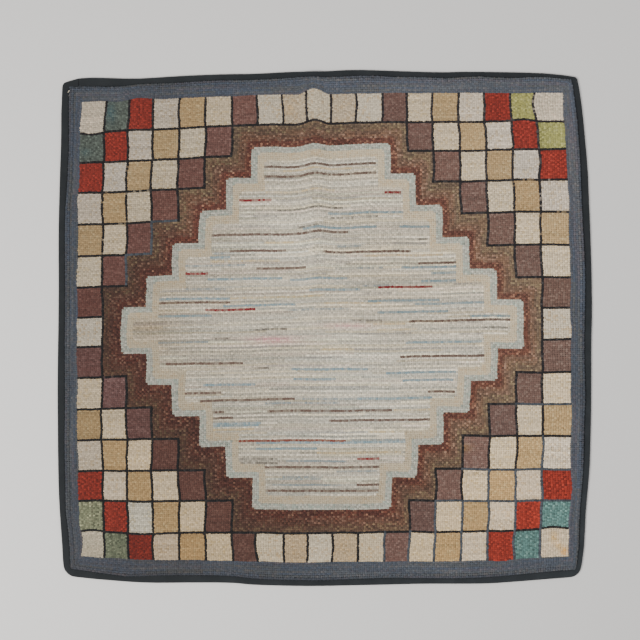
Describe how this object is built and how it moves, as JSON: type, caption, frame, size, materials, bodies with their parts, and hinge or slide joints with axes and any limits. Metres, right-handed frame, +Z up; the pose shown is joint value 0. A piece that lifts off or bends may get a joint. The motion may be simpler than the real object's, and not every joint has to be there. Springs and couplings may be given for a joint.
{
  "type": "hooked rug",
  "caption": "Nearly square wool hooked rug that lies flat on a floor, with a folded tape binding all round and one soft ridge from its far edge to its middle.",
  "frame": {"origin": "on the floor, under the middle of the rug's box", "axes": "+X along the hooked rows to the right, +Y across them to the far edge with the ridge, +Z up out of the pile"},
  "size_m": [1.175, 1.1346, 0.015],
  "materials": {
    "hooked_wool": "matte looped wool pile, many colours",
    "binding_tape": "matte woven cotton tape"
  },
  "bodies": {
    "root": {"hooked_panel": "hooked_wool", "edge_binding": "binding_tape"}
  },
  "joints": []
}
